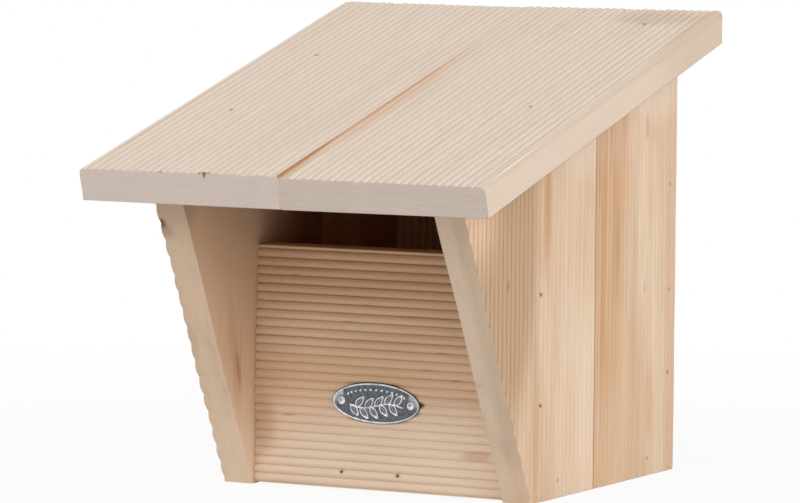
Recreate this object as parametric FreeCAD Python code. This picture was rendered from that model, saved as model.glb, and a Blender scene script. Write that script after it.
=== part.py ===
import FreeCAD, Part
import math
import os

# Open-fronted nest box for robins, in millimetres.
# X runs across the box, Y from the front to the back, Z up.
# The origin lies at the middle of the box's footprint, roof included, on the surface it stands on.

# Roof: two reeded boards side by side, sloping down to the front.
roof_board_width = 110.0
roof_board_length = 273.5
roof_left_thickness = 16.6
roof_right_thickness = 15.8
roof_pitch = 15.5
roof_edge_round = 3.0
roof_left_first_groove = 4.4
roof_right_first_groove = 1.6

# Side walls: two upright boards each, leaning out at the front.
wall_thickness = 16.0
wall_back_height = 219.3
wall_bottom_depth = 165.0
wall_front_lean = 26.85
rear_wall_board_width = 95.5
rear_wall_first_groove = 3.7
front_wall_first_groove = 4.7

# Panels that stand between the side walls.
inner_width = 139.0
front_panel_height = 119.5
front_panel_thickness = 16.0
front_panel_setback = 1.5
back_panel_thickness = 16.0
floor_thickness = 16.0
front_panel_first_groove = 3.5
back_panel_first_groove = 2.4
floor_first_groove = 2.2

# Ribs planed into one face of the stock that every board is ripped from. A first groove is the place of
# the groove nearest to the board's left, back or lower edge.
rib_pitch = 4.4
rib_height = 1.2
board_edge_round = 0.8

# Hole in the back panel to hang the box by, with a flat seat for the screw's washer.
hanging_hole_radius = 3.0
hanging_hole_height = 150.0
washer_seat_radius = 8.0
washer_seat_depth = 2.0

# Brads: headed wire nails shot in a little below the face.
brad_radius = 0.7
brad_head_radius = 1.1
brad_head_height = 1.0
brad_length = 38.0
brad_tip_length = 2.5
brad_tip_radius = 0.15
brad_sunk = 1.5
brad_clearance = 0.05

# Places of the brads.
back_brad_heights = (50.2, 92.8, 146.8)
floor_brad_inset_rear = 15.7
floor_brad_inset_front = 11.7
front_brad_height = 46.6
front_brad_inset_top = 18.5
front_floor_brad_places = (-20.8, 10.6)
back_floor_brad_places = (-35.0, 35.0)
left_roof_brad_places = (87.7, 179.0)
right_roof_brad_places = (20.6, 155.3)

# Oval name plate with a raised rim, held by two round-headed pins.
plate_length = 49.0
plate_height = 20.6
plate_thickness = 0.5
plate_rim_width = 1.3
plate_rim_height = 0.4
plate_centre_x = -1.2
plate_centre_height = 43.6
plate_tilt = 1.1
pin_spacing = 38.6
pin_radius = 0.6
pin_length = 12.0
pin_head_sphere_radius = 2.0
pin_head_base_angle = 45.0
pin_clearance = 0.05

# How far the shapes that cut reach past the pieces they cut.
cut_reach = 20.0

X_AXIS = FreeCAD.Vector(1, 0, 0)
Y_AXIS = FreeCAD.Vector(0, 1, 0)
Z_AXIS = FreeCAD.Vector(0, 0, 1)

pitch_angle = math.radians(roof_pitch)
lean_slope = math.tan(math.radians(wall_front_lean))
roof_slope = math.tan(pitch_angle)
roof_thickest = max(roof_left_thickness, roof_right_thickness)
roof_up = FreeCAD.Vector(0, -math.sin(pitch_angle), math.cos(pitch_angle))
roof_forward = FreeCAD.Vector(0, -math.cos(pitch_angle), -math.sin(pitch_angle))

# The back of the box is one upright plane, and depths are counted forward from it.
overall_depth = roof_board_length * math.cos(pitch_angle) + roof_thickest * math.sin(pitch_angle)
back_y = overall_depth / 2
inner_half = inner_width / 2
wall_middle_x = inner_half + wall_thickness / 2
front_panel_face_y = back_y - wall_bottom_depth + front_panel_setback
front_panel_inside_y = front_panel_face_y + front_panel_thickness
back_panel_inside_y = back_y - back_panel_thickness

# The wall's slanted front edge meets the roof's underside here.
wall_top_depth = (wall_bottom_depth + lean_slope * wall_back_height) / (1 + lean_slope * roof_slope)
wall_front_height = wall_back_height - roof_slope * wall_top_depth


def point(x, y, z):
    return FreeCAD.Vector(x, y, z)


def prism(corners, sweep):
    wire = Part.makePolygon(corners + [corners[0]])
    return Part.Face(wire).extrude(sweep)


def arc(first, middle, last):
    return Part.Arc(first, middle, last).toShape()


# A board lies with its ribs along Z: X runs across it, and Y from its smooth face up to the rib crests.
# It is ripped from wider stock, so its first and last rib may be cut, and its upper corners are rounded.
def reeded_board(width, thickness, length, first_groove, rounds=(board_edge_round, board_edge_round)):
    cusp = thickness - rib_height
    start = first_groove - rib_pitch * math.ceil(first_groove / rib_pitch)
    ribs = math.ceil((width - start) / rib_pitch)
    end = start + ribs * rib_pitch

    def rib(left):
        crest = point(left + rib_pitch / 2, thickness, 0)
        return arc(point(left, cusp, 0), crest, point(left + rib_pitch, cusp, 0))

    def corner(side_x, inward, radius):
        bend = radius * (1 - math.sqrt(0.5))
        side = point(side_x, thickness - radius, 0)
        middle = point(side_x + inward * bend, thickness - bend, 0)
        top = point(side_x + inward * radius, thickness, 0)
        over_top = top + Y_AXIS * rib_height
        base = point(side_x, 0, 0)
        edges = [Part.makeLine(base, side), arc(side, middle, top), Part.makeLine(top, over_top)]
        return edges, base, over_top

    stock_edges = [rib(start + number * rib_pitch) for number in range(ribs)]
    stock_edges += [
        Part.makeLine(point(start, 0, 0), point(start, cusp, 0)),
        Part.makeLine(point(start, 0, 0), point(end, 0, 0)),
        Part.makeLine(point(end, 0, 0), point(end, cusp, 0)),
    ]
    first_corner, first_base, first_top = corner(0, 1, rounds[0])
    last_corner, last_base, last_top = corner(width, -1, rounds[1])
    ripped_edges = first_corner + last_corner
    ripped_edges += [Part.makeLine(first_base, last_base), Part.makeLine(first_top, last_top)]

    def extruded(edges):
        return Part.Face(Part.Wire(Part.sortEdges(edges)[0])).extrude(Z_AXIS * length)

    return extruded(stock_edges).common(extruded(ripped_edges))


def set_in_place(board, corner, across, ribs_face):
    board.Placement = FreeCAD.Placement(corner, FreeCAD.Rotation(across, ribs_face, across.cross(ribs_face)))
    return board


# A brad's head is sunk below the face, and the hole that it leaves is open above it.
def brad(face_point, inward):
    head_top = face_point + inward * brad_sunk
    neck = head_top + inward * brad_head_height
    shank_length = brad_length - brad_head_height - brad_tip_length
    tip = neck + inward * shank_length
    head = Part.makeCylinder(brad_head_radius, brad_head_height, head_top, inward)
    shank = Part.makeCylinder(brad_radius, shank_length, neck, inward)
    point_end = Part.makeCone(brad_radius, brad_tip_radius, brad_tip_length, tip, inward)
    return head.fuse([shank, point_end]).removeSplitter()


def brad_hole(face_point, inward):
    mouth_depth = brad_sunk + brad_head_height
    mouth = Part.makeCylinder(brad_head_radius + brad_clearance, mouth_depth + rib_height,
                              face_point - inward * rib_height, inward)
    shank = Part.makeCylinder(brad_radius + brad_clearance, brad_sunk + brad_length, face_point, inward)
    return mouth.fuse(shank)


# Groups of brads: for each group, the point on the face and the way in of every brad.
def side_brads(side):
    face_x = side * (inner_half + wall_thickness)
    inward = X_AXIS * -side
    back_brad_y = back_y - back_panel_thickness / 2
    front_brad_y = front_panel_face_y + front_panel_thickness / 2
    floor_ys = (back_panel_inside_y - floor_brad_inset_rear, front_panel_inside_y + floor_brad_inset_front)
    front_heights = (front_brad_height, front_panel_height - front_brad_inset_top)
    return {
        "back": [(point(face_x, back_brad_y, height), inward) for height in back_brad_heights],
        "floor": [(point(face_x, y, floor_thickness / 2), inward) for y in floor_ys],
        "front": [(point(face_x, front_brad_y, height), inward) for height in front_heights],
    }


# The roof's brads are placed down the slope, from its back end.
def roof_brads(side, thickness, places):
    roof_back = point(side * wall_middle_x, back_y, wall_back_height) + roof_up * thickness
    return [(roof_back + roof_forward * place, roof_up * -1) for place in places]


brad_groups = {
    "roof_left_brads": roof_brads(-1, roof_left_thickness, left_roof_brad_places),
    "roof_right_brads": roof_brads(1, roof_right_thickness, right_roof_brad_places),
    "front_panel_floor_brads": [
        (point(x, front_panel_face_y, floor_thickness / 2), Y_AXIS) for x in front_floor_brad_places
    ],
    "back_panel_floor_brads": [
        (point(x, back_y, floor_thickness / 2), Y_AXIS * -1) for x in back_floor_brad_places
    ],
}
for side_name, side in (("left", -1), ("right", 1)):
    for target, brads in side_brads(side).items():
        brad_groups[f"{side_name}_wall_{target}_brads"] = brads

brad_holes = [brad_hole(*place) for brads in brad_groups.values() for place in brads]


def drilled(board, holes):
    reached = [hole for hole in holes if board.BoundBox.intersect(hole.BoundBox)]
    return board.cut(reached) if reached else board


# Side walls, ribs outside and upright. One outline trims both boards of a wall: level below, plumb at the
# back, slanted at the front, and on the roof's pitch on top.
def wall_board(side, first_depth, width, first_groove, holes):
    left_groove = first_groove if side > 0 else (width - first_groove) % rib_pitch
    board = reeded_board(width, wall_thickness, wall_back_height, left_groove)
    if side > 0:
        set_in_place(board, point(inner_half, back_y - first_depth, 0), Y_AXIS * -1, X_AXIS)
    else:
        set_in_place(board, point(-inner_half, back_y - first_depth - width, 0), Y_AXIS, X_AXIS * -1)
    outline_x = side * wall_middle_x - wall_thickness
    outline = prism(
        [
            point(outline_x, back_y, 0),
            point(outline_x, back_y, wall_back_height),
            point(outline_x, back_y - wall_top_depth, wall_front_height),
            point(outline_x, back_y - wall_bottom_depth, 0),
        ],
        X_AXIS * wall_thickness * 2,
    )
    return drilled(board.common(outline), holes)


# Roof boards, ribs up and running down the slope. The front end is square to the slope, and the back end
# is plumb, so that the box hangs flat on a wall.
def roof_board(side, thickness, first_groove, holes):
    plumb_allowance = thickness * roof_slope
    length = roof_board_length + plumb_allowance
    rounds = (roof_edge_round, board_edge_round) if side < 0 else (board_edge_round, roof_edge_round)
    board = reeded_board(roof_board_width, thickness, length, first_groove, rounds)
    left_x = -roof_board_width if side < 0 else 0
    top_corner = point(left_x, back_y, wall_back_height) - roof_forward * plumb_allowance
    set_in_place(board, top_corner, X_AXIS, roof_up)
    behind = Part.makeBox((roof_board_width + cut_reach) * 2, cut_reach, wall_back_height,
                          point(-roof_board_width - cut_reach, back_y, wall_back_height / 2))
    return drilled(board.cut(behind), holes)


# Front panel, ribs outside and level.
def front_panel(holes):
    board = reeded_board(front_panel_height, front_panel_thickness, inner_width, front_panel_first_groove)
    set_in_place(board, point(-inner_half, front_panel_inside_y, 0), Z_AXIS, Y_AXIS * -1)
    return drilled(board, holes)


# Back panel, smooth face out and ribs inside and upright, cut on top to the roof's pitch.
def back_panel(holes):
    board = reeded_board(inner_width, back_panel_thickness, wall_back_height, back_panel_first_groove)
    set_in_place(board, point(inner_half, back_y, 0), X_AXIS * -1, Y_AXIS * -1)
    above_roof_underside = prism(
        [
            point(-inner_width, back_y, wall_back_height),
            point(-inner_width, back_y - wall_bottom_depth, wall_back_height - roof_slope * wall_bottom_depth),
            point(-inner_width, back_y - wall_bottom_depth, wall_back_height + cut_reach),
            point(-inner_width, back_y, wall_back_height + cut_reach),
        ],
        X_AXIS * inner_width * 2,
    )
    hanging_hole = Part.makeCylinder(hanging_hole_radius, back_panel_thickness,
                                     point(0, back_y, hanging_hole_height), Y_AXIS * -1)
    washer_seat = Part.makeCylinder(washer_seat_radius, washer_seat_depth,
                                    point(0, back_panel_inside_y, hanging_hole_height), Y_AXIS)
    return drilled(board.cut([above_roof_underside, hanging_hole, washer_seat]), holes)


# Floor, smooth face down and ribs up inside, between the front and back panels.
def floor_board(holes):
    depth = back_panel_inside_y - front_panel_inside_y
    board = reeded_board(depth, floor_thickness, inner_width, floor_first_groove)
    set_in_place(board, point(-inner_half, front_panel_inside_y, 0), Y_AXIS, Z_AXIS)
    return drilled(board, holes)


def oval(length, height, thickness, start):
    edge = Part.Ellipse(point(0, 0, start), length / 2, height / 2).toShape()
    return Part.Face(Part.Wire([edge])).extrude(Z_AXIS * thickness)


# The plate and its pins are laid out flat, facing up, and then stood against the front panel's rib crests.
def stand_on_front(shape):
    shape.rotate(point(0, 0, 0), Z_AXIS, -plate_tilt)
    shape.rotate(point(0, 0, 0), X_AXIS, 90)
    shape.translate(point(plate_centre_x, front_panel_face_y, plate_centre_height))
    return shape


def name_plate(pin_xs):
    body = oval(plate_length, plate_height, plate_thickness + plate_rim_height, 0)
    inner_length = plate_length - 2 * plate_rim_width
    inner_height = plate_height - 2 * plate_rim_width
    field = oval(inner_length, inner_height, plate_rim_height, plate_thickness)
    holes = [
        Part.makeCylinder(pin_radius + pin_clearance, plate_thickness, point(x, 0, 0), Z_AXIS) for x in pin_xs
    ]
    return stand_on_front(body.cut([field] + holes))


def name_plate_pin(x):
    base_height = pin_head_sphere_radius * math.sin(math.radians(pin_head_base_angle))
    head = Part.makeSphere(pin_head_sphere_radius, point(x, 0, plate_thickness - base_height), Z_AXIS,
                           pin_head_base_angle, 90, 360)
    shank = Part.makeCylinder(pin_radius, pin_length, point(x, 0, plate_thickness), Z_AXIS * -1)
    return stand_on_front(head.fuse(shank).removeSplitter())


def name_plate_pin_hole(x):
    hole = Part.makeCylinder(pin_radius + pin_clearance, pin_length, point(x, 0, 0), Z_AXIS * -1)
    return stand_on_front(hole)


pin_places = (-pin_spacing / 2, pin_spacing / 2)
pin_holes = [name_plate_pin_hole(x) for x in pin_places]
front_wall_board_width = wall_top_depth - rear_wall_board_width

nodes = {
    "roof_left_board": roof_board(-1, roof_left_thickness, roof_left_first_groove, brad_holes),
    "roof_right_board": roof_board(1, roof_right_thickness, roof_right_first_groove, brad_holes),
    "front_panel": front_panel(brad_holes + pin_holes),
    "back_panel": back_panel(brad_holes),
    "floor_board": floor_board(brad_holes),
    "name_plate": name_plate(pin_places),
    "name_plate_pins": Part.makeCompound([name_plate_pin(x) for x in pin_places]),
}
for side_name, side in (("left", -1), ("right", 1)):
    nodes[f"{side_name}_rear_wall_board"] = wall_board(side, 0, rear_wall_board_width, rear_wall_first_groove,
                                                       brad_holes)
    nodes[f"{side_name}_front_wall_board"] = wall_board(side, rear_wall_board_width, front_wall_board_width,
                                                        front_wall_first_groove, brad_holes)
for name, brads in brad_groups.items():
    nodes[name] = Part.makeCompound([brad(*place) for place in brads])

os.makedirs("parts", exist_ok=True)
for name, shape in nodes.items():
    shape.exportStep(f"parts/{name}.step")
    print(name, len(shape.Solids), "solids", round(shape.Volume / 1000, 2), "cm3")
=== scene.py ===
import math
import random

import bpy
import numpy as np
from mathutils import Matrix, Vector


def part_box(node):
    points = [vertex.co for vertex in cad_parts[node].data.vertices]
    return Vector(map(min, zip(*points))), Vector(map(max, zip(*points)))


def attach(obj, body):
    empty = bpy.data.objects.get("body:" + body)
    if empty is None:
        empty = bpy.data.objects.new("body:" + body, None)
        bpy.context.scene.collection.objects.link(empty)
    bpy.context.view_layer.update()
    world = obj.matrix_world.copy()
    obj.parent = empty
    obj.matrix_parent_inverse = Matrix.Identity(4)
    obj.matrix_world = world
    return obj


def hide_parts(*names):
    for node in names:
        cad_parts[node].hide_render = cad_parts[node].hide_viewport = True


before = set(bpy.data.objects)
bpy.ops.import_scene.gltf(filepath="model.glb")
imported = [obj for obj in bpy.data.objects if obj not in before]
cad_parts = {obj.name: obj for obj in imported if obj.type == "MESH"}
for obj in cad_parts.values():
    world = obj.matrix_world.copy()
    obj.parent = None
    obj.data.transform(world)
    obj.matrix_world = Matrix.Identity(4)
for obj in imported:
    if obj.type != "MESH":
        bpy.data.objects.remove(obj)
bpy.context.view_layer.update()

# Floor: one softwood board between the two panels, smooth side down and ribs up under the nest.
# Like every board of the box it is ripped from reeded stock, and brads through the walls hold its edges.

MM = 0.001
X_AXIS = Vector((1, 0, 0))
Y_AXIS = Vector((0, 1, 0))
Z_AXIS = Vector((0, 0, 1))
rib_pitch = 4.4
rib_height = 1.2
rib_steps = 8
most_ribs = 60
corner_steps = 4
least_step = 0.15
edge_round = 0.8
end_ease = 0.35
layer_shares = (0.34, 0.67)
crest_unevenness = 0.06
crest_wave = 0.05
crest_wave_lengths = (50, 140)
crest_wave_run = 200
rib_end_chip = 0.35
chip_rarity = 3
board_crease = math.radians(35)


class Ribs:
    """The reeding of one board: the distance between grooves, the place of the first groove, the height,
    the flatness of the crests, and the place across the board where the grooves end."""

    def __init__(self, pitch, first_groove, height, flatness=2.0, end=math.inf):
        self.pitch = pitch
        self.first_groove = first_groove
        self.height = height
        self.flatness = flatness
        self.end = end

    def number(self, x):
        return math.floor((x - self.first_groove) / self.pitch) + 1

    def fall(self, x):
        if x > self.end:
            return 0.0
        share = ((x - self.first_groove) / self.pitch) % 1.0
        return self.height * abs(2 * share - 1) ** self.flatness

    def mirrored(self, width):
        return Ribs(self.pitch, (width - self.first_groove) % self.pitch, self.height, self.flatness)


def corner_fall(distance, radius):
    """How far a rounded corner has dropped at this distance in from the side."""
    if distance >= radius:
        return 0.0
    return radius - math.sqrt(radius ** 2 - (radius - distance) ** 2)


def board_columns(width, ribs, rounds, extra):
    """Places across a board where its section has points: along ribs, round corners, and extra ones."""
    places = {0.0, width, *extra}
    step = ribs.pitch / rib_steps
    first = ribs.first_groove - ribs.pitch * math.ceil(ribs.first_groove / ribs.pitch)
    inner = [first + step * number for number in range(math.ceil((width - first) / step) + 1)]
    for number in range(1, corner_steps + 1):
        bend = 1 - math.cos(math.pi / 2 * number / corner_steps)
        inner += [rounds[0] * bend, width - rounds[1] * bend]
    for place in sorted(inner):
        if all(abs(place - other) > least_step for other in places) and 0 < place < width:
            places.add(place)
    return sorted(places)


def skin_of_lattice(counts):
    """Outward quads on the six sides of a block of points numbered by column, layer and station."""
    number = np.arange(math.prod(counts)).reshape(counts)

    def quads(sheet):
        corners = (sheet[:-1, :-1], sheet[:-1, 1:], sheet[1:, 1:], sheet[1:, :-1])
        return np.stack(corners, -1).reshape(-1, 4)

    sheets = (number[:, -1], number[:, 0].T, number[0].T, number[-1], number[:, :, 0], number[:, :, -1].T)
    return np.concatenate([quads(sheet) for sheet in sheets])


def reeded_board(name, width, thickness, ribs, ends, seed, rounds=(edge_round, edge_round), extra=(),
                 tip=0.0, lie=None, stations=36, eased_sides=(1, 1)):
    """A board with ribs on its upper face: X across, Y up through the thickness, Z along, in millimetres.
    ends are two functions that say where it is cut off along Z, at a place across and a height.
    lie tells how far a place in the board lies off its true height.
    A side that isn't eased stays sharp."""
    chance = random.Random(seed)
    uneven = [chance.uniform(-crest_unevenness, 0.0) for _ in range(most_ribs)]
    phase = [chance.uniform(0, 2 * math.pi) for _ in range(most_ribs)]
    wave = [chance.uniform(*crest_wave_lengths) for _ in range(most_ribs)]
    chips = [[rib_end_chip * chance.random() ** chip_rarity for _ in range(most_ribs)] for _ in ends]
    columns = [place for place in board_columns(width, ribs, rounds, extra) if place <= width - tip]
    points = np.zeros((len(columns), 3 + len(layer_shares), stations, 3))
    for i, place in enumerate(columns):
        rib = ribs.number(place)
        fall = max(ribs.fall(place), corner_fall(place, rounds[0]), corner_fall(width - place, rounds[1]))
        inward = {0: eased_sides[0], len(columns) - 1: -eased_sides[1]}.get(i, 0)
        for k in range(stations):
            at_end = k in (0, stations - 1)
            share = max(0, min(1, (k - 1) / (stations - 3)))
            top = thickness - fall + uneven[rib]
            turn = share * 2 * math.pi * crest_wave_run / wave[rib] + phase[rib]
            top -= crest_wave * (1 + math.sin(turn))
            if k < 2 or k > stations - 3:
                top -= chips[0 if k < 2 else 1][rib] * (1 - fall / (2 * ribs.height))
            eased = end_ease if at_end else 0.0
            heights = [eased, eased + end_ease] + [top * part for part in layer_shares] + [top - eased]
            for j, y in enumerate(heights):
                x = place + inward * (eased + (end_ease if j == 0 else 0.0))
                low, high = (end(x, y) for end in ends)
                if k == 0:
                    z = low
                elif k == stations - 1:
                    z = high
                else:
                    z = low + end_ease + share * (high - low - 2 * end_ease)
                points[i, j, k] = (x, y + (lie(x, y, z) if lie else 0.0), z)
    faces = skin_of_lattice(points.shape[:3])
    used, numbers = np.unique(faces, return_inverse=True)
    corners = points.reshape(-1, 3)[used] * MM
    mesh = bpy.data.meshes.new(name)
    mesh.from_pydata(corners.tolist(), [], numbers.reshape(faces.shape).tolist())
    mesh.shade_smooth()
    mesh.set_sharp_from_angle(angle=board_crease)
    return mesh


def in_place(mesh, corner, across, ribs_face):
    """An object whose own axes run across, up through and along the board."""
    board = bpy.data.objects.new(mesh.name, mesh)
    bpy.context.scene.collection.objects.link(board)
    axes = Matrix((across, ribs_face, across.cross(ribs_face))).transposed()
    board.matrix_world = Matrix.Translation(corner) @ axes.to_4x4()
    return board


class Shade:
    """A number, colour or vector on its way through a material's nodes."""

    def __init__(self, tree, socket=None):
        self.tree = tree
        self.socket = socket

    def node(self, kind, settings, sockets, output=0):
        made = self.tree.nodes.new(kind)
        for key, value in settings.items():
            setattr(made, key, value)
        for key, value in sockets.items():
            if isinstance(value, Shade):
                self.tree.links.new(value.socket, made.inputs[key])
            else:
                made.inputs[key].default_value = value
        return Shade(self.tree, made.outputs[output])

    def maths(self, operation, *values):
        return self.node("ShaderNodeMath", {"operation": operation}, dict(enumerate(values)))

    def __add__(self, other):
        return self.maths("ADD", self, other)

    def __radd__(self, other):
        return self.maths("ADD", other, self)

    def __sub__(self, other):
        return self.maths("SUBTRACT", self, other)

    def __rsub__(self, other):
        return self.maths("SUBTRACT", other, self)

    def __mul__(self, other):
        return self.maths("MULTIPLY", self, other)

    def __rmul__(self, other):
        return self.maths("MULTIPLY", other, self)

    def __truediv__(self, other):
        return self.maths("DIVIDE", self, other)

    def __pow__(self, other):
        return self.maths("POWER", self, other)

    def __abs__(self):
        return self.maths("ABSOLUTE", self)

    def fraction(self):
        return self.maths("FRACT", self)

    def larger(self, other):
        return self.maths("MAXIMUM", self, other)

    def part(self, axis):
        return self.node("ShaderNodeSeparateXYZ", {}, {0: self}, axis)

    def rises(self, low, high):
        """0 below low and 1 above high, with a smooth step between."""
        return self.node("ShaderNodeMapRange", {"interpolation_type": "SMOOTHSTEP"},
                         {"Value": self, "From Min": low, "From Max": high})

    def falls(self, low, high):
        return 1 - self.rises(low, high)

    def between(self, first, second):
        """The first colour where this is 0 and the second where it is 1."""
        return self.node("ShaderNodeMix", {"data_type": "RGBA"}, {0: self, 6: first, 7: second}, 2)

    def under(self, colour, share):
        """This colour with a share of another one laid over it."""
        return self.node("ShaderNodeMix", {"data_type": "RGBA"}, {0: share, 6: self, 7: colour}, 2)

    def feed(self, shader, socket):
        self.tree.links.new(self.socket, shader.inputs[socket])


def new_material(name):
    material = bpy.data.materials.new(name)
    material.use_nodes = True
    tree = material.node_tree
    return material, Shade(tree), tree.nodes["Principled BSDF"]


def tone(red, green, blue):
    """A colour as it is seen, 0 to 255, turned into light."""
    channels = [c / 255 for c in (red, green, blue)]
    linear = [c / 12.92 if c <= 0.04045 else ((c + 0.055) / 1.055) ** 2.4 for c in channels]
    return (*linear, 1.0)


class Patch:
    """A long soft-edged patch of another colour, at a place across and along a board. Some are stains in
    the wood, others painted light and shade. It wobbles with the grain, may slant or reach only a few
    millimetres deep, and lies on the faces, only on the smooth inside, only on the sawn ends, or on all of
    them."""

    def __init__(self, across, along, half_width, half_length, colour, share, core=0.35, wobble=0.25,
                 deep=None, slant=0.0, on="faces"):
        self.across = across
        self.along = along
        self.half_width = half_width
        self.half_length = half_length
        self.colour = colour
        self.share = share
        self.core = core
        self.wobble = wobble
        self.deep = deep
        self.slant = slant
        self.on = on


sapwood = tone(233, 209, 183)
warm_sapwood = tone(216, 182, 148)
streak_wood = tone(190, 146, 108)
# The grooves' darker colour stands for dirt and for painted shade in the grooves.
groove_wood = tone(160, 116, 80)
cut_wood = tone(206, 184, 162)
cut_shade = tone(176, 148, 122)
cut_fleck = tone(120, 88, 62)
inside_wood = tone(220, 187, 155)
shaded_inside = tone(176, 132, 94)
pith_across = 55.0
pith_depth = 70.0
ring_width = 3.1
drift_size = (26, 150)
streak_size = (3.6, 130)
fibre_size = (0.8, 45)
grain_roughness = 0.55
drift_waver = 22
streak_waver = 3
saw_size = (16, 0.7, 12)
blotch_size = (11, 7, 22)
fleck_size = (1.2, 2.6, 0.9)
end_facing = (0.30, 0.42)
rib_facing = (0.1, 0.4)
flat_facing = (0.5, 0.8)
edge_facing = (0.6, 0.85)
drift_share = 0.55
ring_share = 0.22
inside_share = 0.85
edge_share = 0.8
saw_share = 0.3
cut_share = 0.85
fibre_share = 0.22
deep_core = 0.4
rib_end_fade = 0.2
wood_specular = 0.25
bump_strength = 0.4
bump_depth = 0.12


def softwood(name, thickness, ribs, seed, pale=sapwood, warm=warm_sapwood, groove=groove_wood, cut=cut_wood,
             edge=None, inside=inside_wood, groove_share=0.4, groove_darkening=(), streak_share=0.35,
             overlays=(), cut_marks=0.5):
    """Bare planed softwood: faint year rings, long fibres, slow drifts of colour, and grooves darkened by
    dirt and painted shade.
    """
    material, start, shader = new_material(name)
    place = start.node("ShaderNodeTexCoord", {}, {}, "Object")
    facing = start.node("ShaderNodeTexCoord", {}, {}, "Normal")
    across, height, along = (place.part(axis) / MM for axis in "XYZ")
    cut_face = abs(facing.part("Z")).rises(*end_facing)
    ribbed = facing.part("Y").rises(*rib_facing)
    smooth = (0 - facing.part("Y")).rises(*flat_facing)

    def noise(x, y, z, detail, roughness=0.5):
        vector = start.node("ShaderNodeCombineXYZ", {}, {0: x, 1: y, 2: z})
        sockets = {"Vector": vector, "Scale": 1.0, "Detail": detail, "Roughness": roughness}
        return start.node("ShaderNodeTexNoise", {}, sockets)

    def grain(size, detail, offset):
        """Noise drawn out along the grain, at a width and length in millimetres."""
        wide, long = size
        return noise(across / wide + offset, height / wide, along / long + seed, detail, grain_roughness)

    def sawn(size, detail):
        """Noise on the sawn ends, at a width, depth and length in millimetres."""
        wide, deep, long = size
        return noise(across / wide, height / deep, along / long, detail)

    drift = grain(drift_size, 2, 3.7)
    streak = grain(streak_size, 3, 17.3)
    fibre = grain(fibre_size, 3, 41.9)
    waver = (drift - 0.5) * drift_waver + (streak - 0.5) * streak_waver
    radius = ((across - pith_across) ** 2 + (height + pith_depth) ** 2) ** 0.5 + waver
    ring = (radius / ring_width).fraction()
    late_ring = ring.rises(0.3, 0.9) * ring.falls(0.92, 1.0)

    wood = (drift.rises(0.38, 0.7) * drift_share).between(pale, warm)
    wood = wood.under(warm, late_ring * ring_share)
    wood = wood.under(inside, smooth * inside_share)
    wood = wood.under(streak_wood, streak.rises(0.52, 0.78) * streak_share)
    if edge:
        wood = wood.under(edge, abs(facing.part("X")).rises(*edge_facing) * edge_share)
    saw = sawn(saw_size, 3)
    cut_colour = (saw.rises(0.4, 0.75) * saw_share).between(cut, warm)
    cut_colour = cut_colour.under(cut_shade, sawn(blotch_size, 3).rises(0.45, 0.75) * cut_marks)
    cut_colour = cut_colour.under(cut_fleck, sawn(fleck_size, 2).rises(0.68, 0.74) * cut_marks)
    wood = wood.under(cut_colour, cut_face * cut_share)

    sides = {"faces": 1 - cut_face, "inside": smooth, "ends": cut_face, "all": 1.0}

    def cover(patch):
        """How strongly a patch shows at each place on the board."""
        off_along = along - patch.along
        off_across = across + waver * patch.wobble + off_along * patch.slant - patch.across
        reach = ((off_across / patch.half_width) ** 2 + (off_along / patch.half_length) ** 2) ** 0.5
        share = reach.falls(patch.core, 1.0) * patch.share * sides[patch.on]
        if patch.deep:
            share = share * (thickness - height).falls(patch.deep * deep_core, patch.deep)
        return share

    for patch in overlays:
        wood = wood.under(patch.colour, cover(patch))
    wood = wood.under(streak_wood, fibre.rises(0.5, 0.8) * fibre_share)
    # Painted shade and dirt: the grooves are darkened in the colour, more where the groove patches reach.
    dirt_and_shade = groove_share * (0.8 + 0.4 * streak.rises(0.35, 0.65))
    for patch in groove_darkening:
        dirt_and_shade = dirt_and_shade + cover(patch)
    rib_share = (across - ribs.first_groove) / ribs.pitch
    sunk = abs(2 * rib_share.fraction() - 1) ** ribs.flatness
    in_groove = sunk.rises(0.5, 1.05) * ribbed * (1 - cut_face)
    if ribs.end < math.inf:
        in_groove = in_groove * across.falls(ribs.end, ribs.end + rib_end_fade)
    wood = wood.under(groove, in_groove * dirt_and_shade)

    wood.feed(shader, "Base Color")
    (0.6 + fibre * 0.3).feed(shader, "Roughness")
    shader.inputs["Specular IOR Level"].default_value = wood_specular
    relief = fibre * 0.7 + late_ring * 0.3 + saw * cut_face * 0.8
    bump = {"Strength": bump_strength, "Distance": bump_depth * MM, "Height": relief}
    start.node("ShaderNodeBump", {}, bump).feed(shader, "Normal")
    return material


def fit_board(board, node, material):
    """The dressed board rides on the box in place of its plain solid."""
    board.data.materials.clear()
    board.data.materials.append(material)
    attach(board, "root")
    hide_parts(node)


def square_cut(place):
    return lambda x, y: place


splay_foot = 1.25
splay_change = 1.7
splay_heights = (40, 140)
splay_depths = (20, 130)
outer_foot = 0.7
outer_foot_heights = (0, 30)
outer_top = 0.4
outer_top_heights = (110, 150)


def smooth_share(value, low, high):
    share = max(0.0, min(1.0, (value - low) / (high - low)))
    return share * share * (3 - 2 * share)


def left_splay(depth, height, outer=0.0):
    """How far the left wall stands out of true at a depth forward of the back and a height: outward at the
    foot and inward at the top. Its outer face, where outer is 1, stands out a little more at both."""
    more = outer_foot * (1 - smooth_share(height, *outer_foot_heights))
    more += outer_top * smooth_share(height, *outer_top_heights)
    splay = splay_foot - splay_change * smooth_share(height, *splay_heights)
    return (splay + outer * more) * smooth_share(depth, *splay_depths)


floor_seed = 3
floor_low, floor_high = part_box("floor_board")
floor_size = (floor_high - floor_low) / MM
floor_front_depth = (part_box("back_panel")[1].y - floor_low.y) / MM
floor_ribs = Ribs(rib_pitch, 2.2, rib_height)


def floor_left_end(x, y):
    """The floor's left end follows the wall, which stands out of true."""
    return -left_splay(floor_front_depth - x, y)


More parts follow.
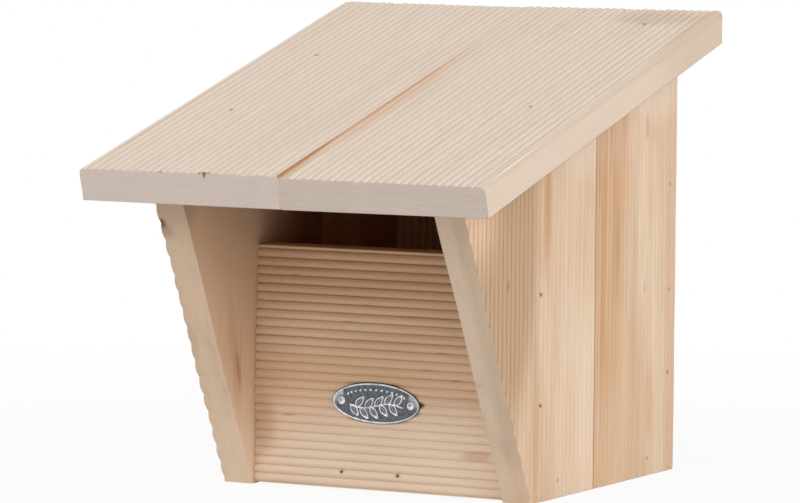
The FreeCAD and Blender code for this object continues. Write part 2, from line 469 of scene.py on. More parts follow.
floor_ends = (floor_left_end, square_cut(floor_size.x))
floor_mesh = reeded_board("floor", floor_size.y, floor_size.z, floor_ribs, floor_ends, floor_seed)
floor = in_place(floor_mesh, floor_low, Y_AXIS, Z_AXIS)
floor_wood = softwood("floor_softwood", floor_size.z, floor_ribs, floor_seed, shaded_inside, shaded_inside)
fit_board(floor, "floor_board", floor_wood)

# Back panel: one upright board between the side walls, its flat face out against the wall it hangs on.
# Its ribs face in, and the hole for the hanging screw, with a seat for a washer, is drilled near the top.

back_seed = 5
roof_pitch = math.radians(15.5)
roof_slope = math.tan(roof_pitch)
hanging_hole_radius = 3.0
hanging_hole_height = 150.0
hole_ragged = 0.01
washer_seat_radius = 8.0
washer_seat_depth = 2.0
seat_ragged = 0.004
bore_past = 1.0
back_floor_brads = (-35.0, 35.0)
floor_brad_height = 8.0
mouth_radius = 0.75
mouth_flare = 1.1
mouth_ragged = 0.12
mouth_depth = 1.7
mouth_reach = 3.0
brad_ring = tone(150, 112, 78)
brad_ring_size = (1.5, 2.2)


def bore(board, tools):
    """Cuts round holes into a board. Each is the two ends of its axis, in the board's own axes, the radius
    at each end, and how ragged it is."""
    chance = random.Random(len(tools))
    sides = 14
    points, faces = [], []
    for start, end, start_radius, end_radius, ragged in tools:
        base = len(points)
        axis = (Vector(end) - Vector(start)).normalized()
        one = axis.orthogonal().normalized()
        two = axis.cross(one)
        for middle, radius in ((start, start_radius), (end, end_radius)):
            for step in range(sides):
                turn = 2 * math.pi * step / sides
                reach = radius * chance.uniform(1 - ragged, 1 + ragged)
                points.append(Vector(middle) + (one * math.cos(turn) + two * math.sin(turn)) * reach)
        for step in range(sides):
            after = (step + 1) % sides
            faces.append((base + step, base + after, base + sides + after, base + sides + step))
        faces.append(tuple(base + step for step in reversed(range(sides))))
        faces.append(tuple(base + sides + step for step in range(sides)))
    tool_mesh = bpy.data.meshes.new("bore")
    tool_mesh.from_pydata([point * MM for point in points], [], faces)
    tool = bpy.data.objects.new("bore", tool_mesh)
    bpy.context.scene.collection.objects.link(tool)
    tool.matrix_world = board.matrix_world
    cut = board.modifiers.new("bore", "BOOLEAN")
    cut.solver = "EXACT"
    cut.object = tool
    bpy.context.view_layer.update()
    bored = bpy.data.meshes.new_from_object(board.evaluated_get(bpy.context.evaluated_depsgraph_get()))
    board.modifiers.clear()
    board.data = bored
    bpy.data.objects.remove(tool)


def brad_mouth(start, end):
    return start, end, mouth_radius * mouth_flare, mouth_radius, mouth_ragged


def brad_mouths(thickness, places):
    """The small ragged holes over sunk brads, at places across and along the ribbed face."""
    top, bottom = thickness + mouth_reach, thickness - mouth_depth
    return [brad_mouth((x, top, z), (x, bottom, z)) for x, z in places]


def brad_stains(places, share=0.45):
    return [Patch(x, z, *brad_ring_size, brad_ring, share) for x, z in places]


def pitched_cut(height):
    """An upper end on the roof's pitch, lower as it comes forward through the board."""
    return lambda x, y: height - roof_slope * y


back_low, back_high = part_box("back_panel")
back_size = (back_high - back_low) / MM
back_ribs = Ribs(rib_pitch, 2.4, rib_height)
back_ends = (square_cut(0), pitched_cut(back_size.z))
back_mesh = reeded_board("back", back_size.x, back_size.y, back_ribs, back_ends, back_seed)
back = in_place(back_mesh, Vector((back_high.x, back_high.y, 0)), -X_AXIS, -Y_AXIS)
back_middle = back_size.x / 2
back_mouths = [(back_middle - x, floor_brad_height) for x in back_floor_brads]
hole_behind = (back_middle, -bore_past, hanging_hole_height)
hole_before = (back_middle, back_size.y + bore_past, hanging_hole_height)
seat_floor = (back_middle, back_size.y - washer_seat_depth, hanging_hole_height)
bore(back, [
    (hole_behind, hole_before, hanging_hole_radius, hanging_hole_radius, hole_ragged),
    (hole_before, seat_floor, washer_seat_radius, washer_seat_radius, seat_ragged),
    *[brad_mouth((x, -bore_past, z), (x, mouth_depth, z)) for x, z in back_mouths],
])
back_inside = tone(224, 178, 134)
back_stains = brad_stains(back_mouths)
back_stains += [
    Patch(38, 120, 9, 90, tone(206, 162, 122), 0.5),
    Patch(104, 70, 14, 80, tone(214, 176, 138), 0.5),
    Patch(92, 184, 3.2, 6, tone(122, 82, 54), 0.85),
    Patch(139, 115, 60, 110, tone(150, 96, 56), 0.2, 0.5, deep=5.0),
]
back_wood = softwood("back_softwood", back_size.y, back_ribs, back_seed, back_inside, back_inside,
                     inside=sapwood, overlays=back_stains)
fit_board(back, "back_panel", back_wood)

# Side walls: two upright boards each, glued edge to edge, ribs outside and planed smooth inside.
# The front edge is sawn on a slant, the top on the roof's pitch, and brads hold the wall to the panels.

lean_slope = math.tan(math.radians(26.85))
wall_bottom_depth = 165.0
wall_drop = 1.0
wall_foot_depth = wall_bottom_depth - wall_drop * lean_slope
wall_tip_blunt = 0.7
right_swell = 0.85
swell_heights = (90, 140)
swell_depths = (120, 210)
right_settled = 0.0035
left_settled = 0.0021
rear_brads = [(8.0, 50.2), (8.0, 92.8), (8.0, 146.8), (31.7, floor_brad_height)]
fore_brads = [(155.5, 46.6), (155.5, 101.0), (135.8, floor_brad_height)]
wall_back_y = back_high.y / MM
wall_back_height = back_size.z
rear_low, rear_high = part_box("right_rear_wall_board")
fore_low, fore_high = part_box("right_front_wall_board")
wall_thickness = (rear_high.x - rear_low.x) / MM
inner_half = rear_low.x / MM
rear_width = (rear_high.y - rear_low.y) / MM
fore_width = (fore_high.y - fore_low.y) / MM
seam_round = 0.5
back_sharp = (seam_round, edge_round)
front_sharp = (edge_round, seam_round)
rear_ribs = Ribs(4.25, 1.9, 0.55)
fore_ribs = Ribs(4.47, 2.85, 0.9)
left_rear_ribs = rear_ribs.mirrored(rear_width)
left_fore_ribs = Ribs(4.47, 2.85, 1.1).mirrored(fore_width - wall_tip_blunt)
heartwood = tone(212, 165, 121)
red_heart = tone(196, 142, 102)
brown_streak = tone(172, 120, 78)
tan_wood = tone(193, 161, 127)
# Dark colour for the walls' grooves: dirt and painted shade.
dark_groove = tone(136, 94, 60)
pink_wood = tone(218, 180, 150)
knot_wood = tone(104, 72, 54)
seam_line = tone(98, 62, 36)
right_rear_stains_and_painted_light = [
    Patch(95.5, 190, 40, 265, heartwood, 0.6, 0.72),
    Patch(64, 185, 4, 36, red_heart, 0.5, 0.2),
    Patch(74, 140, 3, 70, red_heart, 0.4, 0.2),
    Patch(86, 110, 3.5, 150, red_heart, 0.4, 0.3),
    Patch(92, 170, 2.5, 60, streak_wood, 0.45, 0.2),
    Patch(78, 178, 1.3, 34, brown_streak, 0.6, 0.1),
    Patch(83, 166, 1.0, 44, brown_streak, 0.5, 0.1),
    Patch(70, 118, 1.2, 40, brown_streak, 0.45, 0.1),
    Patch(88, 96, 1.4, 70, brown_streak, 0.35, 0.1),
    Patch(81, 48, 1.2, 44, brown_streak, 0.4, 0.1),
    Patch(55, 36, 40, 80, tone(212, 172, 134), 0.4, 0.3),
    Patch(80, 12, 26, 60, tone(230, 198, 164), 0.5, 0.3),
    Patch(3, 110, 12, 220, pink_wood, 0.6, 0.6),
    Patch(36, 178, 2.2, 10, streak_wood, 0.55),
    Patch(36, 96, 1.7, 5.5, streak_wood, 0.65),
    Patch(30, 38, 7, 26, heartwood, 0.4),
    Patch(50, 90, 5, 80, streak_wood, 0.25),
    # Painted light: the next two patches are paler just under the roof's edge, against its shadow.
    Patch(76, 178, 34, 28, tone(228, 200, 176), 0.35, 0.3),
    Patch(26, 199, 44, 27, tone(240, 224, 208), 0.5, 0.3),
    Patch(rear_width, 90, 1.4, 900, seam_line, 0.7, 0.3, 0.0, 4.0),
]
# Where the rear boards' grooves are darkened more: dirt and painted shade.
right_rear_dirt_and_shade = [Patch(86, 120, 22, 220, None, 0.2, 0.6)]
right_fore_stains_and_painted_light = [
    Patch(100, 135, 46, 120, tan_wood, 0.85, 0.6),
    # Painted light: paler near the tip's top, where the roof's shadow falls.
    Patch(130, 150, 34, 46, tone(240, 208, 174), 0.9, 0.2),
    Patch(54, 145, 6, 50, red_heart, 0.65, 0.15),
    Patch(66, 40, 5, 70, tone(200, 164, 124), 0.5),
    Patch(26, 40, 24, 90, tone(234, 211, 186), 0.6, 0.4),
    Patch(6, 30, 20, 100, tone(242, 220, 196), 0.55, 0.4),
    # Painted light: paler just under the roof's edge, against its shadow.
    Patch(14, 174, 34, 26, tone(240, 224, 208), 0.45, 0.3),
    Patch(96.5, 108, 1.8, 4.5, brown_streak, 0.6, 0.2),
    Patch(107, 74, 60, 130, tone(176, 148, 120), 0.33, 0.9, deep=11.0, on="ends"),
    # Painted light: the sawn front edge is paler at its foot.
    Patch(72.5, 6, 18, 26, tone(238, 210, 180), 0.4, 0.2, on="ends"),
    Patch(98, 62, 2.2, 5, tone(150, 122, 96), 0.4, 0.2, on="ends"),
]
# Where the front boards' grooves are darkened more: dirt and painted shade.
right_fore_dirt_and_shade = [Patch(112, 128, 56, 130, None, 0.6, 0.6)]
left_rear_stains = [
    Patch(30, 120, 14, 130, heartwood, 0.5, 0.4),
    Patch(80, 60, 8, 60, streak_wood, 0.3),
    Patch(0, 110, 2.0, 400, seam_line, 0.7, 0.45, 0.0, 4.0),
]
left_fore_stains_and_painted_light = [
    # Painted light: the board is paler toward its foot, on every face.
    Patch(76, 0, 60, 72, tone(250, 228, 204), 0.42, 0.1, on="all"),
    Patch(5, 146, 16, 30, tone(172, 144, 126), 0.4, 0.2, on="all"),
    Patch(62, 58, 3.4, 15, tone(176, 112, 82), 0.55, 0.15, 0.1, slant=0.2, on="inside"),
    Patch(64, 70, 0.9, 20, tone(150, 104, 80), 0.3, 0.2, 0.15, on="inside"),
    # Painted shade: the inside darkens toward the board's rear edge, where the box's interior is in shade.
    Patch(150, 110, 82, 400, tone(144, 84, 40), 0.9, 0.25, on="inside"),
    Patch(58, 66, 7, 40, tone(180, 126, 94), 0.3, 0.1, 0.3, slant=0.2, on="inside"),
    Patch(100, 90, 24, 160, pink_wood, 0.4, deep=6.0),
    Patch(80, 6, 14, 30, tone(240, 214, 190), 0.5, 0.3, on="inside"),
    Patch(10.4, 130, 4.2, 6.5, tone(160, 126, 106), 0.45, 0.2, 0.1, 9.5, on="all"),
    Patch(8.6, 134.0, 2.6, 4.6, knot_wood, 0.85, 0.3, 0.1, 5.0, on="all"),
    Patch(1, 156, 8, 4, tone(150, 112, 86), 0.5, 0.2, deep=12.0, on="all"),
]
# Painted shade: the rear boards' smooth insides are darkened and warmed for the shade inside the box.
rear_inside_shade = tone(188, 124, 68)
fore_sapwood = tone(228, 203, 177)
right_cut = tone(216, 196, 174)
left_cut = tone(220, 193, 167)
wall_looks = {
    "right_rear": (sapwood, right_rear_stains_and_painted_light, right_rear_dirt_and_shade, cut_wood, 0.0, rear_inside_shade),
    "right_front": (fore_sapwood, right_fore_stains_and_painted_light, right_fore_dirt_and_shade, right_cut, 0.14, inside_wood),
    "left_rear": (sapwood, left_rear_stains, [], cut_wood, 0.05, rear_inside_shade),
    "left_front": (sapwood, left_fore_stains_and_painted_light, right_fore_dirt_and_shade, left_cut, 0.1, inside_wood),
}


def wall_ends(depth_at, settled):
    """Lower and upper end of a wall board, from how far forward of the back a place across it lies.
    The upper end follows the roof, which has settled a little toward the front."""

    def lower(x, y):
        return max(-wall_drop, (depth_at(x) - wall_bottom_depth) / lean_slope)

    def upper(x, y):
        return wall_back_height - (roof_slope + settled) * depth_at(x)

    return lower, upper


def right_wall_board(name, part, ribs, seed, rounds):
    first_depth, width, brads, tip = part
    ends = wall_ends(lambda x: first_depth + x, right_settled)
    kink = [wall_foot_depth - first_depth] if first_depth else []

    def lie(x, y, z):
        swell = right_swell * (1 - y / wall_thickness)
        return -swell * smooth_share(z, *swell_heights) * smooth_share(first_depth + x, *swell_depths)

    mesh = reeded_board(name, width, wall_thickness, ribs, ends, seed, rounds, kink, tip, lie)
    board = in_place(mesh, Vector((inner_half, wall_back_y - first_depth, 0)) * MM, -Y_AXIS, X_AXIS)
    mouths = [(depth - first_depth, height) for depth, height in brads]
    bore(board, brad_mouths(wall_thickness, mouths))
    return board, mouths


def left_wall_board(name, part, ribs, seed, rounds):
    first_depth, width, brads, tip = part
    last_depth = first_depth + width - tip
    ends = wall_ends(lambda x: last_depth - x, left_settled)
    kink = [last_depth - wall_foot_depth] if first_depth else []

    def lie(x, y, z):
        return left_splay(last_depth - x, z, y / wall_thickness)

    mesh = reeded_board(name, width - tip, wall_thickness, ribs, ends, seed, rounds, kink, lie=lie)
    board = in_place(mesh, Vector((-inner_half, wall_back_y - last_depth, 0)) * MM, Y_AXIS, -X_AXIS)
    mouths = [(last_depth - depth, height) for depth, height in brads]
    bore(board, brad_mouths(wall_thickness, mouths))
    return board, mouths


rear_part = (0.0, rear_width, rear_brads, 0.0)
fore_part = (rear_width, fore_width, fore_brads, wall_tip_blunt)
wall_boards = {
    "right_rear": (right_wall_board, rear_part, rear_ribs, 11, front_sharp),
    "right_front": (right_wall_board, fore_part, fore_ribs, 12, back_sharp),
    "left_rear": (left_wall_board, rear_part, left_rear_ribs, 13, back_sharp),
    "left_front": (left_wall_board, fore_part, left_fore_ribs, 14, front_sharp),
}
for board_name, (make_board, part, ribs, seed, rounds) in wall_boards.items():
    board, mouths = make_board(f"{board_name}_wall", part, ribs, seed, rounds)
    pale, overlays, dirt_and_shade, cut, groove_share, inside = wall_looks[board_name]
    wood = softwood(f"{board_name}_softwood", wall_thickness, ribs, seed, pale, groove=dark_groove, cut=cut,
                    inside=inside, groove_share=groove_share, groove_darkening=dirt_and_shade, streak_share=0.22,
                    overlays=overlays + brad_stains(mouths, 0.35), cut_marks=0.3)
    fit_board(board, f"{board_name}_wall_board", wood)

# Front panel: one board across the lower front, ribs level and outside, open above for the bird.
# Brads through the side walls hold its ends, and two through its face go into the floor.

front_seed = 7
front_low, front_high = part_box("front_panel")
front_size = (front_high - front_low) / MM
front_ribs = Ribs(4.34, 0.4, rib_height)
front_floor_brads = (-20.8, 10.6)
front_pale = tone(228, 198, 168)
front_warm = tone(217, 178, 141)
front_mark = tone(128, 84, 56)
front_stains_and_painted_light = [
    # Painted light: the next two patches make the panel paler toward the bottom.
    Patch(12, 70, 46, 140, tone(238, 218, 198), 0.75, 0.25),
    Patch(22, 112, 30, 44, tone(242, 220, 198), 0.75, 0.3),
    # Painted shade: darker toward the top, under the roof's overhang.
    Patch(118, 70, 40, 160, tone(196, 150, 110), 0.45, 0.3),
    Patch(20, 124, 4, 12, tone(206, 160, 126), 0.5),
    # Painted shade: darker at the lower left end, beside the left wall.
    Patch(30, 4, 22, 10, tone(196, 152, 114), 0.4),
    # Painted shadow: a dark spot on the wood at the name plate's right end.
    Patch(43.9, 93.0, 2.4, 2.4, tone(64, 50, 44), 0.85, 0.3, 0.03),
]
front_mark_places = ((104.8, 21), (91.8, 62), (83.1, 52), (70.0, 104), (56.9, 112), (61.3, 96), (35, 18))
front_stains_and_painted_light += [Patch(height, place, 0.7, 5.5, front_mark, 0.45, 0.1, 0.05)
                 for height, place in front_mark_places]
# Painted shade and dirt: the grooves darken more toward the top, under the roof.
front_dirt_and_shade = [Patch(115, 70, 80, 260, None, 0.6, 0.2)]


def front_left_end(x, y):
    """The panel's left end follows the wall, which stands out of true."""
    return -left_splay(wall_bottom_depth, x)


front_ends = (front_left_end, square_cut(front_size.x))
front_mesh = reeded_board("front", front_size.z, front_size.y, front_ribs, front_ends, front_seed)
front = in_place(front_mesh, Vector((front_low.x, front_high.y, 0)), Z_AXIS, -Y_AXIS)
front_mouths = [(floor_brad_height, front_size.x / 2 + x) for x in front_floor_brads]
bore(front, brad_mouths(front_size.y, front_mouths))
front_wood = softwood("front_softwood", front_size.y, front_ribs, front_seed, front_pale, front_warm,
                      groove_share=0.22, groove_darkening=front_dirt_and_shade, streak_share=0.3,
                      overlays=front_stains_and_painted_light + brad_stains(front_mouths))
fit_board(front, "front_panel", front_wood)

# Roof: two boards laid side by side down the slope, ribs up, overhanging at the front and sides.
# The front ends are sawn square and the back ends plumb, and brads go down into the walls.

roof_up = Vector((0, -math.sin(roof_pitch), math.cos(roof_pitch)))
roof_length = 273.5
roof_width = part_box("roof_right_board")[1].x / MM
roof_edge_round = 3.0
roof_stations = 44
left_roof_thickness = 16.6
right_roof_thickness = 15.8
left_roof_brads = (87.7, 179.0)
right_roof_brads = (20.6, 155.3)
roof_pale = tone(235, 218, 201)
roof_warm = tone(230, 211, 193)
# Dark colour for the roof's grooves: dirt and painted shade.
roof_groove = tone(126, 100, 78)
left_roof_cut = tone(203, 190, 182)
right_roof_cut = tone(194, 180, 170)
roof_edge = tone(227, 207, 186)
seam_wood = tone(200, 146, 100)
seam_brown = tone(170, 122, 76)
moss = tone(158, 150, 78)
moss_core = tone(74, 68, 24)
end_step = 0.8
wall_middle = inner_half + wall_thickness / 2


def plumb_cut(x, y):
    """The upper end, further up the slope as it goes up through the board."""
    return -y * roof_slope


def settled_board(thickness, below, above):
    """How a nailed roof board lies: its shifts below and on top, each at the back's left and right corners
    and then at the front's."""

    def shift(corners, across, along):
        back_left, back_right, front_left, front_right = corners
        back = back_left + (back_right - back_left) * across
        front = front_left + (front_right - front_left) * across
        return back + (front - back) * along

    def lie(x, y, z):
        across, along, up = x / roof_width, max(0.0, z / roof_length), y / thickness
        return shift(below, across, along) * (1 - up) + shift(above, across, along) * up

    return lie


left_lie = settled_board(left_roof_thickness, (0, 0, -0.5, -0.75), (-0.45, -1.15, -0.48, -0.24))
right_lie = settled_board(right_roof_thickness, (0, 0, -1.2, -0.85), (0.24, 0.33, -0.55, -0.85))
left_roof_stains = [
    Patch(4.5, 190, 1.2, 120, tone(206, 156, 112), 0.5, 0.3, 0.03),
    Patch(0.6, 170, 1.8, 220, tone(212, 172, 136), 0.5, 0.4, 0.03),
    Patch(roof_width, 268, 0.8, 84, seam_brown, 0.9, 0.4, 0.0, 2.5),
    Patch(roof_width, 150, 0.8, 120, seam_wood, 0.6, 0.3, 0.0, 2.5),
    Patch(45.1, 273.5, 2.2, 2.0, moss, 0.8, 0.3, 0.3, 1.8, on="all"),
    Patch(70.6, 273.5, 6.0, 2.4, moss, 0.7, 0.4, 0.4, 1.3, on="all"),
    Patch(70.1, 273.5, 1.2, 2.6, moss_core, 0.85, 0.2, 0.2, 3.8, on="all"),
    Patch(67.0, 273.5, 1.0, 1.6, moss_core, 0.6, 0.2, 0.2, 1.6, on="all"),
]
right_roof_stains_and_painted_light = [
    Patch(0.6, 266, 5.0, 62, tone(204, 156, 106), 0.7, 0.2, 0.02, 2.5),
    Patch(4, 155, 6.5, 112, tone(225, 191, 160), 0.65, 0.3, 0.1, 3.0),
    Patch(1, 140, 1.6, 110, seam_wood, 0.5, 0.2, 0.02, 2.5),
    Patch(80, 10, 34, 16, tone(208, 186, 164), 0.5),
    # Painted shade: the right board's rounded edge is darkened to match its side face.
    Patch(109.4, 137, 2.4, 600, tone(196, 174, 150), 0.4, 0.6, 0.02, 4.0),
    Patch(roof_width, 20, 12, 74, tone(210, 184, 154), 0.4, 0.3, 0.02),
    # A split along the rounded edge: a dark line and a pale sliver, the sliver partly a painted highlight.
    Patch(107.3, 238, 0.5, 34, tone(184, 156, 130), 0.4, 0.3, 0.05),
    Patch(108.3, 238, 0.6, 36, tone(250, 236, 218), 0.7, 0.3, 0.05),
]
left_roof_ribs = Ribs(4.45, 3.9, 0.65, 4.2)
right_roof_ribs = Ribs(4.36, 3.6, 0.85, 4.2, 106.06)
left_rounds = (roof_edge_round, edge_round)
right_rounds = (edge_round, roof_edge_round)
roof_boards = (
    ("roof_left", -1, 19, left_roof_thickness, left_roof_ribs, left_rounds, left_lie, left_roof_brads,
     left_roof_cut, 0.6, left_roof_stains),
    ("roof_right", 1, 21, right_roof_thickness, right_roof_ribs, right_rounds, right_lie, right_roof_brads,
     right_roof_cut, 1.0, right_roof_stains_and_painted_light),
)
for board_name, side, seed, thickness, ribs, rounds, lie, brads, cut, groove_share, overlays in roof_boards:
    left_x = -roof_width if side < 0 else 0
    ends = (plumb_cut, square_cut(roof_length if side < 0 else roof_length - end_step))
    eased_sides = (1, 1) if side < 0 else (0, 1)
    mesh = reeded_board(board_name, roof_width, thickness, ribs, ends, seed, rounds, lie=lie,
                        stations=roof_stations, eased_sides=eased_sides)
    board = in_place(mesh, Vector((left_x, wall_back_y, wall_back_height)) * MM, X_AXIS, roof_up)
    mouths = [(side * wall_middle - left_x, place) for place in brads]
    bore(board, brad_mouths(thickness, mouths))
    wood = softwood(f"{board_name}_softwood", thickness, ribs, seed, roof_pale, roof_warm, roof_groove, cut,
                    roof_edge, shaded_inside, groove_share, streak_share=0.08,
                    overlays=overlays + brad_stains(mouths, 0.55), cut_marks=0.1)
    fit_board(board, f"{board_name}_board", wood)

# Name plate: an oval pressed from thin bright metal, with a raised rim and a plain leaf sprig, on two pins.
# The sunk field has gone dark, and the raised parts are rubbed bright.

plate_half_length = 24.5
plate_half_height = 10.3
plate_thickness = 0.5
plate_middle = Vector((-1.2, 0, 43.6))
plate_tilt = math.radians(1.1)
plate_crease = math.radians(50)
rim_profile = ((0.0, 0.0), (0.0, 0.3), (0.1, 0.55), (0.35, 0.85), (0.7, 1.0), (1.0, 0.92), (1.25, 0.7),
               (1.45, 0.52), (1.5, 0.5))
pin_half_spacing = 19.3
plate_segments = 280
field_rings = 64
sprig_half_length = 15.0
sprig_drop = 1.4
sprig_bow = 1.4
leaf_count = 10
leaf_start = 1.0
leaf_step = 2.7
leaf_length = 7.0
leaf_half_width = 1.5
leaf_fullness = 0.8
leaf_relief = 0.4
leaf_lean = math.radians(50)
vein_share = 0.5
vein_half_width = 0.3
line_half_width = 0.5
bead_count = 13
bead_radius = 0.8
bead_arc = (19.0, 6.6)
bead_spread = math.radians(56)


def stem_height(x):
    return sprig_bow * math.sin(x / sprig_half_length * math.pi) - sprig_drop


def ridge(distance, half_width=line_half_width):
    """A rounded raised line: 1 on the line and 0 at its sides."""
    return max(0.0, 1 - (distance / half_width) ** 2)


def sprig_relief(x, y):
    """Height of the sprig, drawn in raised lines under a bow of beads, above the plate's field."""
    relief = 0.0
    for number in range(bead_count):
        turn = bead_spread * (2 * number / (bead_count - 1) - 1)
        bead_x, bead_y = bead_arc[0] * math.sin(turn), bead_arc[1] * math.cos(turn)
        relief = max(relief, leaf_relief * ridge(math.hypot(x - bead_x, y - bead_y), bead_radius))
    if abs(x) < sprig_half_length:
        relief = max(relief, leaf_relief * ridge(abs(y - stem_height(x))))
    for number in range(leaf_count):
        foot_x = -sprig_half_length + leaf_start + number * leaf_step
        lean = leaf_lean if number % 2 else -leaf_lean
        dx, dy = x - foot_x, y - stem_height(foot_x)
        along = dx * math.cos(lean) + dy * math.sin(lean)
        aside = dy * math.cos(lean) - dx * math.sin(lean)
        if 0 < along < leaf_length:
            half = leaf_half_width * math.sin(math.pi * (along / leaf_length) ** leaf_fullness)
            vein = vein_share * ridge(aside, vein_half_width)
            relief = max(relief, leaf_relief * ridge(abs(aside) - half), leaf_relief * vein)
    return relief


rings = [(plate_half_length - inset, plate_half_height - inset, height) for inset, height in rim_profile]
inner_length, inner_height, field = rings[-1]
for number in range(1, field_rings):
    share = 1 - number / field_rings
    rings.append((inner_length * share, inner_height * share, field))
plate_points, plate_faces = [], []
for ring_number, (half_x, half_y, height) in enumerate(rings):
    for step in range(plate_segments):
        turn = 2 * math.pi * step / plate_segments
        x, y = half_x * math.cos(turn), half_y * math.sin(turn)
        lift = sprig_relief(x, y) if ring_number >= len(rim_profile) else 0.0
        plate_points.append(Vector((x, y, height + lift)) * MM)
for ring_number in range(len(rings) - 1):
    for step in range(plate_segments):
        after = (step + 1) % plate_segments
        near, far = ring_number * plate_segments, (ring_number + 1) * plate_segments
        plate_faces.append((near + step, near + after, far + after, far + step))
centre = len(plate_points)
plate_points.append(Vector((0, 0, field + sprig_relief(0, 0))) * MM)
last = (len(rings) - 1) * plate_segments
plate_faces += [(last + step, last + (step + 1) % plate_segments, centre) for step in range(plate_segments)]
plate_faces.append(tuple(reversed(range(plate_segments))))
plate_mesh = bpy.data.meshes.new("name_plate_oval")
plate_mesh.from_pydata(plate_points, [], plate_faces)
plate_mesh.shade_smooth()
plate_mesh.set_sharp_from_angle(angle=plate_crease)
plate = bpy.data.objects.new("name_plate_oval", plate_mesh)
bpy.context.scene.collection.objects.link(plate)
plate_axes = Matrix((X_AXIS, Z_AXIS, -Y_AXIS)).transposed().to_4x4()
plate.matrix_world = (Matrix.Translation(plate_middle * MM + Vector((0, front_low.y, 0)))
                      @ plate_axes @ Matrix.Rotation(-plate_tilt, 4, "Z"))

bright_metal = tone(234, 236, 240)
dull_field = tone(112, 116, 122)
field_smut_and_shade = tone(70, 74, 80)
pin_shadow = tone(52, 52, 50)
worn_from = plate_thickness + 0.06
worn_full = plate_thickness + 0.26
head_edge = (1.9, 2.2)
head_shadow_edge = (2.3, 3.0)
plate_material, plate_start, plate_shader = new_material("pressed_plate")
plate_place = plate_start.node("ShaderNodeTexCoord", {}, {}, "Object")
plate_facing = plate_start.node("ShaderNodeTexCoord", {}, {}, "Normal")
plate_x, plate_y, plate_rise = (plate_place.part(axis) / MM for axis in "XYZ")
scuff = plate_start.node("ShaderNodeTexNoise", {}, {"Vector": plate_place, "Scale": 900.0, "Detail": 4.0})
wear = plate_start.node("ShaderNodeTexNoise", {}, {"Vector": plate_place, "Scale": 220.0, "Detail": 2.0})
outward = (plate_facing.part("X") * plate_x / plate_half_length ** 2
           + plate_facing.part("Y") * plate_y / plate_half_height ** 2)
from_pin = ((abs(plate_x) - pin_half_spacing) ** 2 + plate_y ** 2) ** 0.5
raised = (plate_rise + (scuff - 0.5) * 0.12).rises(worn_from, worn_full)
raised = raised * (0.7 + 0.3 * wear.rises(0.35, 0.55))
light_end = abs(plate_x).rises(17.6, 19.4) * plate_y.rises(-2.5, 1.5)
raised = raised.larger(light_end * 0.5)
raised = raised.larger(from_pin.falls(*head_edge) * 0.85)
# Partly smut, partly painted shade and reflection: the rim's outward flank is darkened in the colour, more
# toward the top.
rim_smut_and_shade = outward.rises(0.012, 0.035) * (0.3 + 0.5 * plate_y.rises(-7, -1))
pin_foot = from_pin.rises(*head_edge) * from_pin.falls(*head_shadow_edge)
plate_colour = raised.between(dull_field, bright_metal)
plate_colour = plate_colour.under(field_smut_and_shade, scuff.rises(0.42, 0.7) * (1 - raised * 0.6) * 0.8)
plate_colour = plate_colour.under(field_smut_and_shade, rim_smut_and_shade)
plate_colour.under(pin_shadow, pin_foot * 0.6).feed(plate_shader, "Base Color")
(0.42 - raised * 0.14 + (scuff - 0.5) * 0.2).feed(plate_shader, "Roughness")
plate_shader.inputs["Metallic"].default_value = 1.0
plate_mesh.materials.append(plate_material)
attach(plate, "root")
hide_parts("name_plate")

# Pins and brads: round-headed pins hold the plate, and wire brads, sunk below the face, hold the boards.
# Both are drawn wire, the pins bright and the brads dulled by weather.

dimple_rise = 0.3
dimple_edge = (0.3, 0.75)


def wire_metal(name, bright, dull, roughness, hollow_shade=None):
    material, start, shader = new_material(name)
    place = start.node("ShaderNodeTexCoord", {}, {}, "Object")
    patches = start.node("ShaderNodeTexNoise", {}, {"Vector": place, "Scale": 700.0, "Detail": 4.0})
    colour = patches.rises(0.35, 0.7).between(bright, dull)
    if hollow_shade:
        colour = colour.under(pin_shadow, hollow_shade(place))
    colour.feed(shader, "Base Color")
    (roughness + patches * 0.25).feed(shader, "Roughness")
    shader.inputs["Metallic"].default_value = 1.0
    return material


def dark_middle(place):
    """Painted shade for the small dimple in each pin's head, a little above its middle."""
    along = place.part("X") / MM - plate_middle.x
    up = place.part("Z") / MM - plate_middle.z + along * math.tan(plate_tilt)
    reach = ((abs(along) - pin_half_spacing) ** 2 + (up - dimple_rise) ** 2) ** 0.5
    return reach.falls(*dimple_edge) * 0.85


pin_metal = wire_metal("pin_metal", tone(244, 244, 242), tone(214, 212, 206), 0.12, dark_middle)
brad_steel = wire_metal("brad_steel", tone(156, 138, 120), tone(122, 94, 72), 0.45)
for node_name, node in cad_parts.items():
    if node_name == "name_plate_pins" or node_name.endswith("_brads"):
        node.data.materials.clear()
        node.data.materials.append(pin_metal if node_name == "name_plate_pins" else brad_steel)

# Studio: a wide white floor under soft light, and a long lens a little above the middle of the box.
# The camera sees the floor as white, with the box's own soft shadow on it.

view_azimuth = math.radians(27.815)
view_elevation = math.radians(4.654)
view_roll = math.radians(0.449)
view_distance = 2.6828
view_target = Vector((-0.0902, 0.02897 + back_high.y, 0.10167))
view_lens = 225.42
view_sensor = 36.0
view_reach = 100.0


def toward(azimuth, elevation):
    """The way out from the box at an elevation and an azimuth to the right of straight in front."""
    level = math.cos(elevation)
    return Vector((math.sin(azimuth) * level, -math.cos(azimuth) * level, math.sin(elevation)))


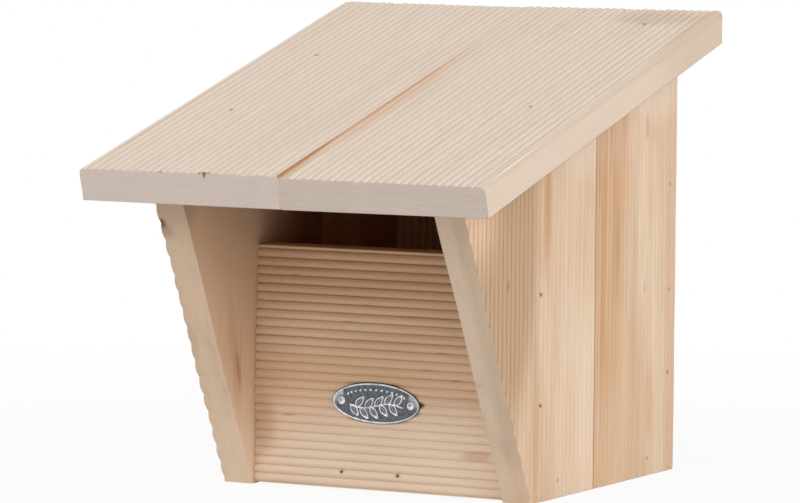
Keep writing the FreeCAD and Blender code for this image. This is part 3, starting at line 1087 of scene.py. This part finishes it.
away = toward(view_azimuth, view_elevation)
level_right = (-away).cross(Z_AXIS).normalized()
level_up = level_right.cross(-away)
camera_right = level_right * math.cos(view_roll) + level_up * math.sin(view_roll)
camera_up = level_up * math.cos(view_roll) - level_right * math.sin(view_roll)
camera_data = bpy.data.cameras.new("camera")
camera_data.lens = view_lens
camera_data.sensor_width = view_sensor
camera_data.clip_end = view_reach
camera = bpy.data.objects.new("camera", camera_data)
camera.matrix_world = (Matrix.Translation(view_target + away * view_distance)
                       @ Matrix((camera_right, camera_up, away)).transposed().to_4x4())
bpy.context.scene.collection.objects.link(camera)
bpy.context.scene.camera = camera

ground_reach = 30.0
ground_grey = 0.87
near_white = 0.92
white_distances = (0.2, 0.8)
seen_rays = ("Is Camera Ray", "Is Glossy Ray", "Is Transmission Ray")
ground_corners = [(x * ground_reach, y * ground_reach, -wall_drop * MM)
                  for x, y in ((-1, -1), (1, -1), (1, 1), (-1, 1))]
ground_mesh = bpy.data.meshes.new("ground")
ground_mesh.from_pydata(ground_corners, [], [(0, 1, 2, 3)])
ground = bpy.data.objects.new("ground", ground_mesh)
bpy.context.scene.collection.objects.link(ground)
ground_material = bpy.data.materials.new("ground_white")
ground_material.use_nodes = True
ground_tree = ground_material.node_tree
ground_tree.nodes.clear()
ground_start = Shade(ground_tree)
rays = [ground_start.node("ShaderNodeLightPath", {}, {}, ray) for ray in seen_rays]
seen = rays[0].larger(rays[1].larger(rays[2]))
matte_colour = (ground_grey, ground_grey, ground_grey, 1)
matte = ground_start.node("ShaderNodeBsdfDiffuse", {}, {"Color": matte_colour})
glow = ground_start.node("ShaderNodeEmission", {}, {"Color": (1, 1, 1, 1), "Strength": 1.0})
spot = ground_start.node("ShaderNodeTexCoord", {}, {}, "Object")
distance = ground_start.node("ShaderNodeVectorMath", {"operation": "LENGTH"}, {0: spot}, "Value")
whiteness = near_white + (1 - near_white) * distance.rises(*white_distances)
blend = ground_start.node("ShaderNodeMixShader", {}, {0: seen * whiteness, 1: matte, 2: glow})
ground_output = ground_tree.nodes.new("ShaderNodeOutputMaterial")
ground_tree.links.new(blend.socket, ground_output.inputs["Surface"])
ground_mesh.materials.append(ground_material)

world_strength = 0.47
world = bpy.data.worlds.new("studio")
bpy.context.scene.world = world
world.use_nodes = True
background = world.node_tree.nodes["Background"]
background.inputs["Color"].default_value = (1, 1, 1, 1)
background.inputs["Strength"].default_value = world_strength

lamp_aim = Vector((0, 0, 0.1))
lamp_distance = 4.5
low_lamp = (2.4, 1.4)
square_lamp = (2.4, 2.4)


def soft_box(name, azimuth, elevation, size, power):
    """A rectangular lamp that faces the box, its azimuth and elevation in degrees."""
    way = toward(math.radians(azimuth), math.radians(elevation))
    data = bpy.data.lights.new(name, "AREA")
    data.shape = "RECTANGLE"
    data.size, data.size_y = size
    data.energy = power
    lamp = bpy.data.objects.new(name, data)
    lamp.location = lamp_aim + way * lamp_distance
    lamp.rotation_euler = (-way).to_track_quat("-Z", "Y").to_euler()
    bpy.context.scene.collection.objects.link(lamp)


soft_box("right_low", 75, 10, low_lamp, 45)
soft_box("right", 75, 28, square_lamp, 35)
soft_box("right_front", 45, 28, square_lamp, 9)
soft_box("front", -15, 28, square_lamp, 31)
soft_box("high_front", -15, 48, square_lamp, 40)

bpy.context.scene.view_settings.view_transform = "Standard"
